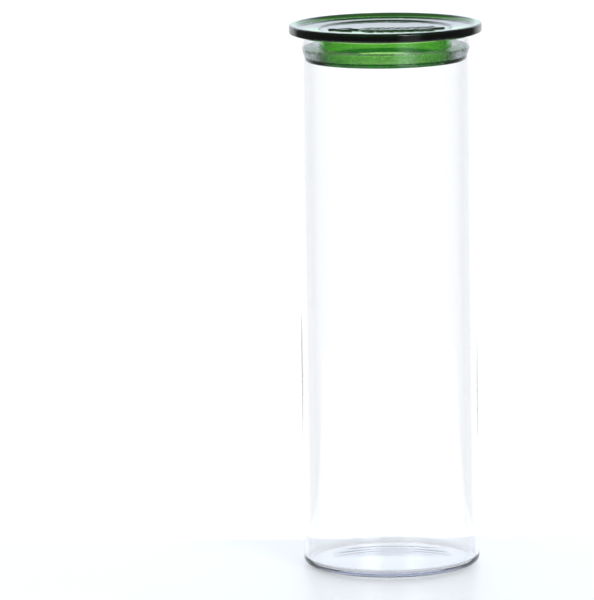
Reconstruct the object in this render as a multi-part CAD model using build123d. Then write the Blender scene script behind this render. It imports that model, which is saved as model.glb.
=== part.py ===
"""Tall storage jar of clear glass with a pressed green glass lid and a soft sealing ring.

Millimetres, +Z up. The origin is the centre of the jar's foot, on the surface it stands on.
Every piece is a turned shape about Z; only the lid carries relief that is not turned.
"""
from build123d import *
from math import cos, radians, sin
import os

# ---- jar -------------------------------------------------------------------------------
JAR_RADIUS = 50.0
JAR_WALL = 2.2
JAR_HEIGHT = 303.0
HEEL_RADIUS = 4.5        # rounding between the wall and the foot, outside
FLOOR_CORNER = 2.5       # rounding between the wall and the floor, inside
FLOOR_THICKNESS = 3.0    # at the foot ring
PUNT_RADIUS = 36.0       # shallow hollow under the jar, inside the foot ring
PUNT_DEPTH = 0.8
RIM_ROUNDING = 1.05      # fire-polished lip, almost fully round

# ---- lid: heights are above (+) and below (-) the jar's rim --------------------------------
FLANGE_RADIUS = 54.4
FLANGE_TOP = 5.2
RIM_INNER_RADIUS = 50.9  # where the flat rim ends and the dish begins
SHELF_OUTER_RADIUS = 48.1
SHELF_OUTER_TOP = 3.3
SHELF_INNER_RADIUS = 37.9
SHELF_INNER_TOP = 2.7
DISC_RADIUS = 36.0       # sunk centre of the dish
DISC_EDGE_TOP = 1.85     # at the disc's edge
BOWL_RADIUS = 35.5       # the disc is slightly hollow inside this radius
BOWL_DEPTH = 0.6
NECK_RADIUS = 37.3
LIP_TOP_RADIUS = 45.7    # thin lip at the neck's foot, which carries the sealing ring
LIP_FOOT_RADIUS = 45.0
LIP_TOP = -12.9
PLUG_FOOT = -15.2
HOLLOW_FOOT_RADIUS = 35.0
HOLLOW_ROOF_RADIUS = 34.9
HOLLOW_ROOF = -2.0

# ---- relief on the lid's centre: an ear of wheat lying along X ------------------------------
RELIEF_HEIGHT = 0.8
RELIEF_ROOT = 0.4        # depth to which the relief is sunk into the disc before it is joined
GRAIN_PAIRS = 7
GRAIN_PITCH = 5.6
GRAIN_LENGTH = 13.0
GRAIN_WIDTH = 3.3
GRAIN_ANGLE = 42.0       # between a grain and the stem, degrees
FIRST_GRAIN_X = -15.5
STEM_WIDTH = 1.6
STEM_START_X = -32.0
LEAF_LENGTH = 13.0
LEAF_WIDTH = 2.8
LEAF_ANGLE = 24.0
LEAF_X = -30.0          # where both leaves leave the stem

# ---- sealing ring: heights are below the jar's rim ------------------------------------------
NECK_CLEARANCE = 0.05    # running fit of the ring on the lid's neck
RING_FOOT_GAP = 0.05     # air between the ring and the lip that carries it
RING_TOP = -7.7
RING_RADIUS = 47.5       # upper step, which wipes the inside of the jar's mouth
RING_STEP_1 = -9.1       # foot of the upper step
RING_MIDDLE_RADIUS = 46.7
RING_STEP_2 = -11.0      # foot of the middle step
RING_FOOT_RADIUS = 45.9
STEP_DRAFT = 0.35        # how much each step narrows towards its foot
EDGE = 0.3               # rounding of the ring's four outer corners
STEP_EDGE = 0.2          # rounding at the two steps


def turned(outline):
    """Solid turned about Z from a closed outline of (radius, height, corner rounding)."""
    corners = [(radius, height) for radius, height, rounding in outline]
    roundings = [rounding for radius, height, rounding in outline]
    with BuildPart() as body:
        with BuildSketch(Plane.XZ):
            with BuildLine():
                FilletPolyline(corners, radius=roundings, close=True)
            make_face()
        revolve(axis=Axis.Z)
    return body.part


def shallow_cap(radius, height):
    """Spherical cap that rises from the XY plane, with a flat disc as thick under the plane."""
    with BuildPart() as cap:
        with BuildSketch(Plane.XZ):
            with BuildLine():
                ThreePointArc(
                    (-radius, 0),
                    (0, height),
                    (radius, 0),
                )
                Line((radius, 0), (radius, -height))
                Line((radius, -height), (-radius, -height))
                Line((-radius, -height), (-radius, 0))
            make_face()
            split(bisect_by=Plane.YZ)
        revolve(axis=Axis.Z)
    return cap.part


def jar():
    """Straight glass cylinder with a rounded heel, a thin floor and a plain polished lip."""
    inner = JAR_RADIUS - JAR_WALL
    return turned([
        (0, 0, 0),
        (JAR_RADIUS, 0, HEEL_RADIUS),
        (JAR_RADIUS, JAR_HEIGHT, RIM_ROUNDING),
        (inner, JAR_HEIGHT, RIM_ROUNDING),
        (inner, FLOOR_THICKNESS, FLOOR_CORNER),
        (0, FLOOR_THICKNESS, 0),
    ]) - shallow_cap(PUNT_RADIUS, PUNT_DEPTH)


def bowl(height):
    """Cutter that hollows the lid's disc, with its rim at this height above the jar's rim."""
    return Pos(0, 0, JAR_HEIGHT + height) * Rot(180, 0, 0) * shallow_cap(BOWL_RADIUS, BOWL_DEPTH)


def lid_body():
    """Dished flange, hollow neck and foot lip of the lid, in one pressed piece."""
    heights = [
        (0, DISC_EDGE_TOP, 0),
        (DISC_RADIUS, DISC_EDGE_TOP, 0.6),
        (SHELF_INNER_RADIUS, SHELF_INNER_TOP, 0.6),
        (SHELF_OUTER_RADIUS, SHELF_OUTER_TOP, 1.6),
        (RIM_INNER_RADIUS, FLANGE_TOP, 0.7),
        (FLANGE_RADIUS, FLANGE_TOP, 1.2),
        (FLANGE_RADIUS, 0, 1.2),
        (NECK_RADIUS, 0, 0.2),
        (NECK_RADIUS, LIP_TOP, 0.2),
        (LIP_TOP_RADIUS, LIP_TOP, 0.6),
        (LIP_FOOT_RADIUS, PLUG_FOOT, 1.2),
        (HOLLOW_FOOT_RADIUS, PLUG_FOOT, 1.0),
        (HOLLOW_ROOF_RADIUS, HOLLOW_ROOF, 1.5),
        (0, HOLLOW_ROOF, 0),
    ]
    outline = [(radius, JAR_HEIGHT + height, corner) for radius, height, corner in heights]
    return turned(outline) - bowl(DISC_EDGE_TOP)


def pointed_oval(length, width):
    """Sketch of a lens shape lying along X, between two equal arcs."""
    half = length / 2
    return make_face(
        ThreePointArc((-half, 0), (0, width / 2), (half, 0))
        + ThreePointArc((half, 0), (0, -width / 2), (-half, 0))
    )


def wheat_ear():
    """Raised stem, grains and leaves, which follow the hollow disc and are rooted in it."""
    half_grain = GRAIN_LENGTH / 2
    ear_end = FIRST_GRAIN_X + GRAIN_PAIRS * GRAIN_PITCH
    stem_length = ear_end - STEM_START_X
    outline = Pos(STEM_START_X + stem_length / 2, 0) * Rectangle(stem_length, STEM_WIDTH)
    outline += Pos(ear_end + half_grain / 2, 0) * pointed_oval(GRAIN_LENGTH, GRAIN_WIDTH)
    for side in (1, -1):
        angle = side * GRAIN_ANGLE
        for pair in range(GRAIN_PAIRS):
            x = FIRST_GRAIN_X + pair * GRAIN_PITCH + half_grain * cos(radians(angle))
            y = half_grain * sin(radians(angle))
            outline += Pos(x, y) * Rot(0, 0, angle) * pointed_oval(GRAIN_LENGTH, GRAIN_WIDTH)
        leaf_turn = side * LEAF_ANGLE
        x = LEAF_X + LEAF_LENGTH / 2 * cos(radians(leaf_turn))
        y = LEAF_LENGTH / 2 * sin(radians(leaf_turn))
        outline += Pos(x, y) * Rot(0, 0, leaf_turn) * pointed_oval(LEAF_LENGTH, LEAF_WIDTH)
    base = DISC_EDGE_TOP - BOWL_DEPTH - RELIEF_ROOT
    top = DISC_EDGE_TOP + RELIEF_HEIGHT
    blank = Pos(0, 0, JAR_HEIGHT + base) * extrude(outline, top - base)
    return blank - bowl(top)


def lid():
    """Green glass lid with its relief."""
    return lid_body() + wheat_ear()


def sealing_ring():
    """Soft ring on the foot of the lid's neck, with three steps that narrow towards its foot."""
    inner = NECK_RADIUS + NECK_CLEARANCE
    foot = LIP_TOP + RING_FOOT_GAP
    outline = [
        (inner, foot, EDGE),
        (RING_FOOT_RADIUS - STEP_DRAFT, foot, EDGE),
        (RING_FOOT_RADIUS, RING_STEP_2, STEP_EDGE),
        (RING_MIDDLE_RADIUS - STEP_DRAFT, RING_STEP_2, STEP_EDGE),
        (RING_MIDDLE_RADIUS, RING_STEP_1, STEP_EDGE),
        (RING_RADIUS - STEP_DRAFT, RING_STEP_1, STEP_EDGE),
        (RING_RADIUS, RING_TOP, EDGE),
        (inner, RING_TOP, EDGE),
    ]
    return turned([(radius, JAR_HEIGHT + height, corner) for radius, height, corner in outline])


os.makedirs("parts", exist_ok=True)
for name, shape in {"jar": jar(), "lid": lid(), "sealing_ring": sealing_ring()}.items():
    export_step(shape, f"parts/{name}.step")
    box = shape.bounding_box()
    print(name, "volume", round(shape.volume), "height", round(box.min.Z, 2), round(box.max.Z, 2))
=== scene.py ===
"""Looks of a tall clear storage jar with a pressed green glass lid and a soft sealing ring.

The three visible pieces are turned meshes that repeat the CAD profiles at a finer grain, so that
the glass refracts cleanly. The relief has the soft shoulders of pressed glass, and the lid has
mould seams, both of which the CAD solids lack.
Profiles are in millimetres, as on a drawing; meshes are in metres.
"""
from math import atan2, cos, exp, hypot, pi, radians, sin, sqrt, tau

import bpy
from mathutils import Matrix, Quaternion, Vector

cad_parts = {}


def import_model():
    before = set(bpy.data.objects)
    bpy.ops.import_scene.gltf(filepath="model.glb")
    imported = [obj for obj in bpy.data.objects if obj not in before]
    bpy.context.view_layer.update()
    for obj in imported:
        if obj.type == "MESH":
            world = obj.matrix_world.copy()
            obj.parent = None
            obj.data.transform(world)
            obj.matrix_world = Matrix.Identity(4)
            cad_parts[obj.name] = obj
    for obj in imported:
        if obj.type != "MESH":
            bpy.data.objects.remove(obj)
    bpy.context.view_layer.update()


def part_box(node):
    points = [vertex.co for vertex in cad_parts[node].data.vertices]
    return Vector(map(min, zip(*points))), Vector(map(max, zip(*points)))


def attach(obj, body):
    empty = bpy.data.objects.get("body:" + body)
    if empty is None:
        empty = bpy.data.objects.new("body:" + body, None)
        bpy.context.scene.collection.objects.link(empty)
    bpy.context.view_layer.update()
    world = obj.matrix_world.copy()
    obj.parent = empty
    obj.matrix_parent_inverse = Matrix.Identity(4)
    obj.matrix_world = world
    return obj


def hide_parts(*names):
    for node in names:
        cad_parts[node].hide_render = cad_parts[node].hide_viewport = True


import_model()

MM = 0.001

# ---- where the pieces lie, from the frame ---------------------------------------------------
jar_low, jar_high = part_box("jar")
lid_low, lid_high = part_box("lid")
ring_low, ring_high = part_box("sealing_ring")
RIM = jar_high.z / MM                      # height of the jar's lip
JAR_RADIUS = jar_high.x / MM
FLANGE_RADIUS = lid_high.x / MM
FLANGE_TOP = lid_high.z / MM - RIM
PLUG_FOOT = lid_low.z / MM - RIM
RING_RADIUS = ring_high.x / MM
RING_TOP = ring_high.z / MM - RIM
RING_FOOT = ring_low.z / MM - RIM

# ---- jar, mm ---------------------------------------------------------------------------------
JAR_WALL = 2.2
HEEL_RADIUS = 4.5
FLOOR_CORNER = 2.5
FLOOR_THICKNESS = 3.0
PUNT_RADIUS = 36.0
PUNT_DEPTH = 0.8
RIM_ROUNDING = 1.05
LID_SEAT_GAP = 0.06                        # air between lip and flange, so no faces coincide
LONGEST_ROW = 6.0                          # longest step between rows of the mesh
WALL_WANDER = (0.035, 3, 37, 0), (0.025, 5, -23, 1.3)   # depth, waves round, pitch, phase

# ---- lid, mm; heights from the jar's lip -----------------------------------------------------
RIM_INNER_RADIUS = 50.9
SHELF_OUTER_RADIUS, SHELF_OUTER_TOP = 48.1, 3.3
SHELF_INNER_RADIUS, SHELF_INNER_TOP = 37.9, 2.7
DISC_RADIUS, DISC_EDGE_TOP = 36.0, 1.85
BOWL_RADIUS, BOWL_DEPTH = 35.5, 0.6        # the disc is slightly hollow
NECK_RADIUS = 37.3
LIP_TOP_RADIUS, LIP_FOOT_RADIUS = 45.7, 45.0
LIP_TOP = -12.9
HOLLOW_FOOT_RADIUS, HOLLOW_ROOF_RADIUS = 35.0, 34.9
HOLLOW_ROOF = -2.0
SEAM_ANGLES = [radians(a) for a in (90, 214, 327)]
SEAM_HEIGHT = 0.03                         # less than the gap between the neck and the ring
SEAM_HALF_WIDTH = 0.45
SEAM_MARGIN = 0.5                          # how far inside the flange's radius a seam ends
SEAM_TOP_MARGIN = 0.3                      # and how far below its top

# ---- relief: an ear of wheat along X, mm -----------------------------------------------------
RELIEF_HEIGHT = 0.8
RELIEF_SHOULDER = 0.45                     # width of the sloping edge of the relief
RELIEF_CROWN = 0.25                        # share of the height that is a dome
RELIEF_RINGS = 100                         # rows of the mesh that carry it
GRAIN_PAIRS = 7
GRAIN_PITCH = 5.6
GRAIN_LENGTH, GRAIN_WIDTH = 13.0, 3.3
GRAIN_ANGLE = radians(42.0)
FIRST_GRAIN_X = -15.5
STEM_WIDTH = 1.6
STEM_START_X = -32.0
LEAF_LENGTH, LEAF_WIDTH = 13.0, 2.8
LEAF_ANGLE = radians(24.0)
LEAF_X = -30.0

# ---- sealing ring, mm; heights from the jar's lip --------------------------------------------
NECK_CLEARANCE = 0.05
RING_INNER_RADIUS = NECK_RADIUS + NECK_CLEARANCE
RING_STEP_1, RING_STEP_2 = -9.1, -11.0
RING_MIDDLE_RADIUS, RING_FOOT_RADIUS = 46.7, 45.9
STEP_DRAFT = 0.35                          # how much each step narrows towards its foot

# ---- glass and silicone: what each metre takes of red, green and blue --------------------------
CLEAR_GLASS_IOR, CLEAR_GLASS_ABSORBS = 1.473, (4.6, 4.4, 2.4)
GREEN_GLASS_IOR, GREEN_GLASS_ABSORBS = 1.517, (465, 151, 740)
SILICONE_IOR, SILICONE_ABSORBS = 1.41, (10, 9, 9.5)


# ==== turned meshes =============================================================================
def rounded(outline, step=radians(9)):
    """Points of a closed or open outline of (radius, height, rounding), with corners as arcs."""
    points = []
    count = len(outline)
    for i, (r, z, rounding) in enumerate(outline):
        if rounding == 0:
            points.append((r, z))
            continue
        before = outline[(i - 1) % count]
        after = outline[(i + 1) % count]
        here = Vector((r, z))
        u = (Vector(before[:2]) - here).normalized()
        v = (Vector(after[:2]) - here).normalized()
        half = u.angle(v) / 2
        reach = rounding / (sin(half) / cos(half))
        centre = here + (u + v).normalized() * (rounding / sin(half))
        first = here + u * reach - centre
        last = here + v * reach - centre
        sweep = atan2(first.x * last.y - first.y * last.x, first.dot(last))
        pieces = max(2, int(abs(sweep) / step + 0.5))
        for k in range(pieces + 1):
            a = sweep * k / pieces
            x = first.x * cos(a) - first.y * sin(a)
            y = first.x * sin(a) + first.y * cos(a)
            points.append((centre.x + x, centre.y + y))
    return points


def turned(name, rows, angles, shape=None, closed=False):
    """Mesh object turned about Z. rows are (radius, height) in mm, clockwise round the section
    from the axis and back to it unless closed. shape(row, x, y, z, angle) may move a point."""
    vertices, faces, rings = [], [], []
    for row, (r, z) in enumerate(rows):
        start = len(vertices)
        turn = [0.0] if r < 1e-6 else angles
        for a in turn:
            point = (r * cos(a), r * sin(a), z)
            if shape:
                point = shape(row, *point, a)
            vertices.append([c * MM for c in point])
        rings.append(range(start, len(vertices)))
    pairs = list(zip(rings, rings[1:]))
    if closed:
        pairs.append((rings[-1], rings[0]))
    for upper, lower in pairs:
        for k in range(len(angles)):
            n = (k + 1) % len(angles)
            if len(upper) == 1:
                faces.append((upper[0], lower[k], lower[n]))
            elif len(lower) == 1:
                faces.append((upper[k], lower[0], upper[n]))
            else:
                faces.append((upper[k], lower[k], lower[n], upper[n]))
    mesh = bpy.data.meshes.new(name)
    mesh.from_pydata(vertices, [], faces)
    mesh.validate()
    mesh.shade_smooth()
    piece = bpy.data.objects.new(name, mesh)
    bpy.context.scene.collection.objects.link(piece)
    weighted = piece.modifiers.new("flat faces stay flat", "WEIGHTED_NORMAL")
    weighted.mode = "FACE_AREA"
    return piece


def evenly(count, clusters=(), spread=radians(1.2), extra=9):
    """count angles round the circle, with more of them near each cluster angle."""
    angles = [tau * k / count for k in range(count)]
    for middle in clusters:
        angles = [a for a in angles if abs((a - middle + pi) % tau - pi) > spread]
        angles += [middle + spread * (2 * k / (extra - 1) - 1) for k in range(extra)]
    return sorted(a % tau for a in angles)


# ==== jar =========================================================================================
def jar_rows():
    """Outline from the middle of the hollow under the foot, up the wall and down the inside."""
    inner = JAR_RADIUS - JAR_WALL
    top = RIM - LID_SEAT_GAP
    arc_steps = 12
    sphere = (PUNT_RADIUS ** 2 + PUNT_DEPTH ** 2) / (2 * PUNT_DEPTH)
    rows = []
    for k in range(arc_steps + 1):
        r = PUNT_RADIUS * k / arc_steps
        rows.append((r, sqrt(sphere ** 2 - r ** 2) - sphere + PUNT_DEPTH))
    walls = rounded([
        (PUNT_RADIUS, 0, 0),
        (JAR_RADIUS, 0, HEEL_RADIUS),
        (JAR_RADIUS, top, RIM_ROUNDING),
        (inner, top, RIM_ROUNDING),
        (inner, FLOOR_THICKNESS, FLOOR_CORNER),
        (0, FLOOR_THICKNESS, 0),
    ])
    return rows + walls[1:]


def subdivided(rows, longest):
    """The same outline with no step longer than longest."""
    points = [rows[0]]
    for (r0, z0), (r1, z1) in zip(rows, rows[1:]):
        pieces = max(1, int(hypot(r1 - r0, z1 - z0) / longest + 0.999))
        for k in range(1, pieces + 1):
            points.append((r0 + (r1 - r0) * k / pieces, z0 + (z1 - z0) * k / pieces))
    return points


def make_jar():
    angles = evenly(288)
    rows = subdivided(jar_rows(), LONGEST_ROW)[::-1]

    def blown(row, x, y, z, a):
        """The inside of a drawn glass wall wanders by a few hundredths of a millimetre."""
        r = hypot(x, y)
        inside = r < JAR_RADIUS - JAR_WALL / 2 and z > FLOOR_THICKNESS + 1
        if not inside or r < 40:
            return x, y, z
        wander = sum(depth * sin(waves_round * a + z / pitch + phase)
                     for depth, waves_round, pitch, phase in WALL_WANDER)
        return x * (1 + wander / r), y * (1 + wander / r), z

    return turned("jar_glass", rows, angles, blown)


# ==== lid =========================================================================================
def inside_oval(x, y, cx, cy, turn, length, width):
    """How far (mm) a point is inside a pointed oval between two equal arcs; negative outside."""
    dx, dy = x - cx, y - cy
    u = abs(dx * cos(turn) + dy * sin(turn))
    v = abs(-dx * sin(turn) + dy * cos(turn))
    radius = (length ** 2 + width ** 2) / (4 * width)
    return radius - hypot(u, v + radius - width / 2)


def ovals():
    """(x, y, turn, length, width) of every grain and leaf."""
    ear_end = FIRST_GRAIN_X + GRAIN_PAIRS * GRAIN_PITCH
    half = GRAIN_LENGTH / 2
    found = [(ear_end + half / 2, 0, 0, GRAIN_LENGTH, GRAIN_WIDTH)]
    for side in (1, -1):
        turn = side * GRAIN_ANGLE
        for pair in range(GRAIN_PAIRS):
            x = FIRST_GRAIN_X + pair * GRAIN_PITCH + half * cos(turn)
            found.append((x, half * sin(turn), turn, GRAIN_LENGTH, GRAIN_WIDTH))
        turn = side * LEAF_ANGLE
        x = LEAF_X + LEAF_LENGTH / 2 * cos(turn)
        found.append((x, LEAF_LENGTH / 2 * sin(turn), turn, LEAF_LENGTH, LEAF_WIDTH))
    return found


OVALS = ovals()
STEM_END_X = FIRST_GRAIN_X + GRAIN_PAIRS * GRAIN_PITCH


def relief(x, y):
    """Height of the ear of wheat above the disc."""
    stem_depth = min(STEM_WIDTH / 2 - abs(y), x - STEM_START_X, STEM_END_X - x)
    best = raised(stem_depth, STEM_WIDTH / 2)
    for cx, cy, turn, length, width in OVALS:
        if abs(x - cx) < length / 2 + 1 and abs(y - cy) < length / 2 + 1:
            best = max(best, raised(inside_oval(x, y, cx, cy, turn, length, width), width / 2))
    return best


def raised(depth, half_width):
    """A steep soft shoulder at the outline and a low dome inside it."""
    edge = min(1.0, max(0.0, depth / RELIEF_SHOULDER + 0.5))
    edge = edge * edge * (3 - 2 * edge)
    dome = min(1.0, max(0.0, depth / half_width))
    dome = 1 - (1 - dome) ** 2
    return RELIEF_HEIGHT * edge * (1 - RELIEF_CROWN + RELIEF_CROWN * dome)


def lid_rows():
    """The disc's rows, which carry the relief, and the outline from the disc's edge out over the
    rim and back under to the hollow's centre."""
    rows = []
    for k in range(RELIEF_RINGS):
        share = k / RELIEF_RINGS
        rows.append((BOWL_RADIUS * share, DISC_EDGE_TOP - BOWL_DEPTH * (1 - share ** 2)))
    outline = rounded([
        (BOWL_RADIUS, DISC_EDGE_TOP, 0),
        (DISC_RADIUS, DISC_EDGE_TOP, 0.6),
        (SHELF_INNER_RADIUS, SHELF_INNER_TOP, 0.6),
        (SHELF_OUTER_RADIUS, SHELF_OUTER_TOP, 1.6),
        (RIM_INNER_RADIUS, FLANGE_TOP, 0.7),
        (FLANGE_RADIUS, FLANGE_TOP, 1.2),
        (FLANGE_RADIUS, 0, 1.2),
        (NECK_RADIUS, 0, 0.2),
        (NECK_RADIUS, LIP_TOP, 0.2),
        (LIP_TOP_RADIUS, LIP_TOP, 0.6),
        (LIP_FOOT_RADIUS, PLUG_FOOT, 1.2),
        (HOLLOW_FOOT_RADIUS, PLUG_FOOT, 1.0),
        (HOLLOW_ROOF_RADIUS, HOLLOW_ROOF, 1.5),
        (0, HOLLOW_ROOF, 0),
    ])
    return rows, outline


def make_lid():
    angles = evenly(448, SEAM_ANGLES)
    disc, outline = lid_rows()
    rows = disc + outline
    relief_count = len(disc)

    def pressed(row, x, y, z, a):
        """The relief on the disc, and seams on the neck and lip but not on the flange's edge."""
        if row < relief_count:
            z += relief(x, y)
        r = hypot(x, y)
        outside = NECK_RADIUS - SEAM_MARGIN < r < FLANGE_RADIUS - SEAM_MARGIN
        if outside and z < FLANGE_TOP - SEAM_TOP_MARGIN:
            for seam in SEAM_ANGLES:
                off = abs((a - seam + pi) % tau - pi) * r
                if off < 4 * SEAM_HALF_WIDTH:
                    grow = SEAM_HEIGHT * exp(-(off / SEAM_HALF_WIDTH) ** 2) / r
                    x, y = x * (1 + grow), y * (1 + grow)
        return x, y, z + RIM

    return turned("lid_glass", rows, angles, pressed)


# ==== sealing ring ================================================================================
def make_ring():
    """Three steps that narrow towards the foot, round the foot of the lid's neck."""
    outline = rounded([
        (RING_INNER_RADIUS, RING_FOOT, 0.3),
        (RING_FOOT_RADIUS - STEP_DRAFT, RING_FOOT, 0.3),
        (RING_FOOT_RADIUS, RING_STEP_2, 0.2),
        (RING_MIDDLE_RADIUS - STEP_DRAFT, RING_STEP_2, 0.2),
        (RING_MIDDLE_RADIUS, RING_STEP_1, 0.2),
        (RING_RADIUS - STEP_DRAFT, RING_STEP_1, 0.2),
        (RING_RADIUS, RING_TOP, 0.3),
        (RING_INNER_RADIUS, RING_TOP, 0.3),
    ])
    rows = [(r, z + RIM) for r, z in outline]
    return turned("ring_silicone", rows[::-1], evenly(288), closed=True)


# ==== materials ===================================================================================
def new_material(name):
    material = bpy.data.materials.new(name)
    material.use_nodes = True
    nodes, links = material.node_tree.nodes, material.node_tree.links
    return material, nodes, links, nodes["Principled BSDF"], nodes["Material Output"]


def waves(nodes, links, shader, scale, distance, stretch=(1, 1, 1)):
    """Soft unevenness of the surface, as a bump on the shader."""
    where = nodes.new("ShaderNodeTexCoord")
    mapping = nodes.new("ShaderNodeMapping")
    mapping.inputs["Scale"].default_value = stretch
    noise = nodes.new("ShaderNodeTexNoise")
    noise.inputs["Scale"].default_value = scale
    noise.inputs["Detail"].default_value = 2.0
    noise.inputs["Roughness"].default_value = 0.4
    bump = nodes.new("ShaderNodeBump")
    bump.inputs["Strength"].default_value = 1.0
    bump.inputs["Distance"].default_value = distance
    links.new(where.outputs["Object"], mapping.inputs["Vector"])
    links.new(mapping.outputs["Vector"], noise.inputs["Vector"])
    links.new(noise.outputs["Fac"], bump.inputs["Height"])
    links.new(bump.outputs["Normal"], shader.inputs["Normal"])
    return mapping


def smudges(nodes, links, mapping, socket, scale, low, high):
    """Faint handling marks: the roughness rises in soft patches."""
    noise = nodes.new("ShaderNodeTexNoise")
    noise.inputs["Scale"].default_value = scale
    noise.inputs["Detail"].default_value = 5.0
    spread = nodes.new("ShaderNodeMapRange")
    spread.inputs["From Min"].default_value = 0.45
    spread.inputs["From Max"].default_value = 0.75
    spread.inputs["To Min"].default_value = low
    spread.inputs["To Max"].default_value = high
    links.new(mapping.outputs["Vector"], noise.inputs["Vector"])
    links.new(noise.outputs["Fac"], spread.inputs["Value"])
    links.new(spread.outputs["Result"], socket)


def absorb(nodes, links, output, per_metre):
    """Colour through thickness: how much of red, green and blue each metre of glass takes."""
    density = max(per_metre)
    volume = nodes.new("ShaderNodeVolumeAbsorption")
    volume.inputs["Color"].default_value = [1 - c / density for c in per_metre] + [1]
    volume.inputs["Density"].default_value = density
    links.new(volume.outputs["Volume"], output.inputs["Volume"])


def clear_glass():
    material, nodes, links, shader, output = new_material("clear_glass")
    shader.inputs["Base Color"].default_value = (1, 1, 1, 1)
    shader.inputs["Transmission Weight"].default_value = 1
    shader.inputs["IOR"].default_value = CLEAR_GLASS_IOR
    mapping = waves(nodes, links, shader, 30, 0.00004, (1, 1, 0.25))
    smudges(nodes, links, mapping, shader.inputs["Roughness"], 60, 0.0, 0.02)
    absorb(nodes, links, output, CLEAR_GLASS_ABSORBS)
    return material


def green_glass():
    material, nodes, links, shader, output = new_material("green_glass")
    shader.inputs["Base Color"].default_value = (1, 1, 1, 1)
    shader.inputs["Transmission Weight"].default_value = 1
    shader.inputs["IOR"].default_value = GREEN_GLASS_IOR
    mapping = waves(nodes, links, shader, 90, 0.00006)
    smudges(nodes, links, mapping, shader.inputs["Roughness"], 140, 0.0, 0.03)
    absorb(nodes, links, output, GREEN_GLASS_ABSORBS)
    return material


def silicone():
    material, nodes, links, shader, output = new_material("clear_silicone")
    shader.inputs["Base Color"].default_value = (0.97, 0.985, 0.98, 1)
    shader.inputs["Transmission Weight"].default_value = 1
    shader.inputs["IOR"].default_value = SILICONE_IOR
    mapping = waves(nodes, links, shader, 400, 0.00002)
    smudges(nodes, links, mapping, shader.inputs["Roughness"], 200, 0.22, 0.32)
    absorb(nodes, links, output, SILICONE_ABSORBS)
    return material


# ==== stage =======================================================================================
TABLE_BACK = 0.07                                  # metres behind the jar's axis
TABLE_FRONT, TABLE_SIDE = -0.9, 0.8
TABLE_DROP = 0.0002                                # below the foot, so no faces coincide
TABLE_GLOW = 0.3                                   # light that comes up through the white table
BACKDROP_SIDE = radians(34), radians(54)           # where the backdrop begins and ends to fade,
BACKDROP_TOP = radians(28), radians(50)            # as seen from the object
BACKDROP_FOOT = radians(-17), radians(-30)
BACKDROP_LOW, BACKDROP_HIGH = 1.08, 1.4            # below the horizon, and from 8 degrees up
BACKDROP_RISE = radians(-2), radians(8)
WINDOW_HEADING = radians(30)                       # to the right of the camera
WINDOW_HALF = radians(5), radians(17)
WINDOW_TOP = radians(34), radians(46)
WINDOW_LIGHT = 0.3, 5.5                            # at its foot, and from 20 degrees up
WINDOW_RISE = radians(-10), radians(20)
ROOM_LIGHT = 0.15, 0.4                             # low down, and overhead
ROOM_RISE = radians(-5), radians(60)
CAMERA_PLACE = 0, -3.5479, 0.716
CAMERA_PAN, CAMERA_TILT, CAMERA_ROLL = -0.01461, 0.15782, -0.01506   # radians, tilted down
CAMERA_LENS, CAMERA_SENSOR = 381.2, 36             # mm


def floor():
    """A satin white table that ends close behind the object."""
    mesh = bpy.data.meshes.new("floor")
    left, right = -TABLE_SIDE, TABLE_SIDE
    corners = [(left, TABLE_FRONT, 0), (right, TABLE_FRONT, 0), (right, TABLE_BACK, 0),
               (left, TABLE_BACK, 0)]
    mesh.from_pydata(corners, [], [(0, 1, 2, 3)])
    ground = bpy.data.objects.new("floor", mesh)
    ground.location.z = -TABLE_DROP
    bpy.context.scene.collection.objects.link(ground)
    material, nodes, links, shader, output = new_material("pale_floor")
    shader.inputs["Base Color"].default_value = (0.9, 0.9, 0.9, 1)
    shader.inputs["Roughness"].default_value = 0.3
    shader.inputs["Emission Color"].default_value = (0.95, 0.97, 1, 1)
    shader.inputs["Emission Strength"].default_value = TABLE_GLOW
    mesh.materials.append(material)


def soft_step(nodes, links, value, low, high):
    """0 to 1 as value goes from low to high, with soft ends."""
    step = nodes.new("ShaderNodeMapRange")
    step.interpolation_type = "SMOOTHSTEP"
    step.inputs["From Min"].default_value = low
    step.inputs["From Max"].default_value = high
    links.new(value, step.inputs["Value"])
    return step.outputs["Result"]


def product(nodes, links, values):
    result = values[0]
    for value in values[1:]:
        times = nodes.new("ShaderNodeMath")
        times.operation = "MULTIPLY"
        links.new(result, times.inputs[0])
        links.new(value, times.inputs[1])
        result = times.outputs["Value"]
    return result


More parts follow.
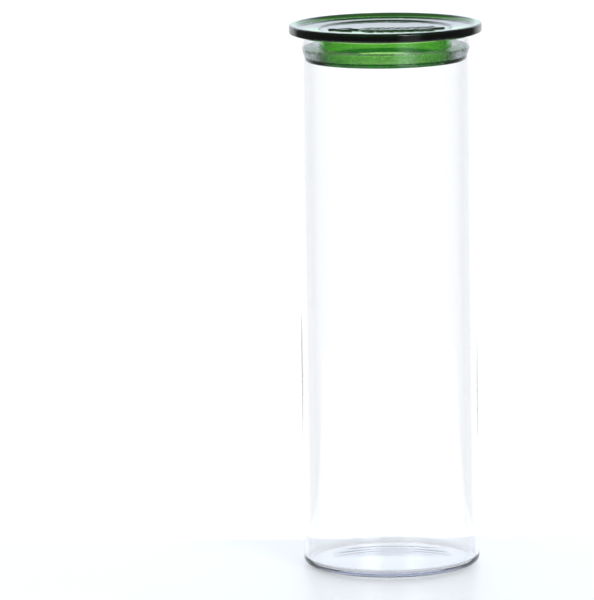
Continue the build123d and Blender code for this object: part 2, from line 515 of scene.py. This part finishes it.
def world():
    """A dim studio with a bright white backdrop behind the object and a window at the front."""
    studio = bpy.data.worlds.new("studio")
    studio.use_nodes = True
    nodes, links = studio.node_tree.nodes, studio.node_tree.links
    where = nodes.new("ShaderNodeTexCoord")
    flat = nodes.new("ShaderNodeVectorMath")
    flat.operation = "MULTIPLY"
    flat.inputs[1].default_value = (1, 1, 0)
    level = nodes.new("ShaderNodeVectorMath")
    level.operation = "NORMALIZE"
    toward = nodes.new("ShaderNodeVectorMath")
    toward.operation = "DOT_PRODUCT"
    toward.inputs[1].default_value = (sin(WINDOW_HEADING), -cos(WINDOW_HEADING), 0)
    heading = nodes.new("ShaderNodeSeparateXYZ")
    split = nodes.new("ShaderNodeSeparateXYZ")
    links.new(where.outputs["Generated"], split.inputs["Vector"])
    links.new(where.outputs["Generated"], flat.inputs[0])
    links.new(flat.outputs["Vector"], level.inputs[0])
    links.new(level.outputs["Vector"], heading.inputs["Vector"])
    links.new(level.outputs["Vector"], toward.inputs[0])
    height = split.outputs["Z"]

    def faded(value, edges, how):
        inner, outer = edges
        return soft_step(nodes, links, value, how(outer), how(inner))

    backdrop = product(nodes, links, [
        faded(heading.outputs["Y"], BACKDROP_SIDE, cos),
        faded(height, BACKDROP_TOP, sin),
        faded(height, BACKDROP_FOOT, sin),
    ])
    window = product(nodes, links, [
        faded(toward.outputs["Value"], WINDOW_HALF, cos),
        faded(height, WINDOW_TOP, sin),
    ])

    def rising(light, between):
        rise = nodes.new("ShaderNodeMapRange")
        rise.interpolation_type = "SMOOTHSTEP"
        rise.inputs["From Min"].default_value = sin(between[0])
        rise.inputs["From Max"].default_value = sin(between[1])
        rise.inputs["To Min"].default_value = light[0]
        rise.inputs["To Max"].default_value = light[1]
        links.new(height, rise.inputs["Value"])
        return rise.outputs["Result"]

    lamps = [
        ((0.97, 0.985, 1.0, 1), [backdrop, rising((BACKDROP_LOW, 0), BACKDROP_RISE)]),
        ((0.82, 0.90, 1.0, 1), [backdrop, rising((0, BACKDROP_HIGH), BACKDROP_RISE)]),
        ((0.86, 0.92, 1.0, 1), [window, rising(WINDOW_LIGHT, WINDOW_RISE)]),
    ]
    room = nodes["Background"]
    room.inputs["Color"].default_value = (0.93, 0.97, 1.0, 1)
    links.new(rising(ROOM_LIGHT, ROOM_RISE), room.inputs["Strength"])
    total = room.outputs["Background"]
    for colour, factors in lamps:
        lamp = nodes.new("ShaderNodeBackground")
        lamp.inputs["Color"].default_value = colour
        links.new(product(nodes, links, factors), lamp.inputs["Strength"])
        both = nodes.new("ShaderNodeAddShader")
        links.new(total, both.inputs[0])
        links.new(lamp.outputs["Background"], both.inputs[1])
        total = both.outputs["Shader"]
    links.new(total, nodes["World Output"].inputs["Surface"])
    bpy.context.scene.world = studio


def camera():
    """Long lens, a little above the lid, with the jar right of the middle."""
    data = bpy.data.cameras.new("camera")
    data.sensor_width = CAMERA_SENSOR
    data.lens = CAMERA_LENS
    view = bpy.data.objects.new("camera", data)
    view.location = CAMERA_PLACE
    pan, tilt, roll = CAMERA_PAN, CAMERA_TILT, CAMERA_ROLL
    view.rotation_mode = "QUATERNION"
    forward = Vector((sin(pan) * cos(tilt), cos(pan) * cos(tilt), -sin(tilt)))
    view.rotation_quaternion = Quaternion(forward, -roll) @ forward.to_track_quat("-Z", "Y")
    data.clip_start, data.clip_end = 0.1, 200
    bpy.context.scene.collection.objects.link(view)
    bpy.context.scene.camera = view


def dress(piece, material, body, node):
    piece.data.materials.append(material)
    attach(piece, body)
    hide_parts(node)


camera()
floor()
world()
dress(make_jar(), clear_glass(), "jar", "jar")
dress(make_lid(), green_glass(), "lid", "lid")
dress(make_ring(), silicone(), "ring", "sealing_ring")

scene = bpy.context.scene
scene.view_settings.view_transform = "Standard"
scene.cycles.max_bounces = 32
scene.cycles.transmission_bounces = 32
scene.cycles.glossy_bounces = 12
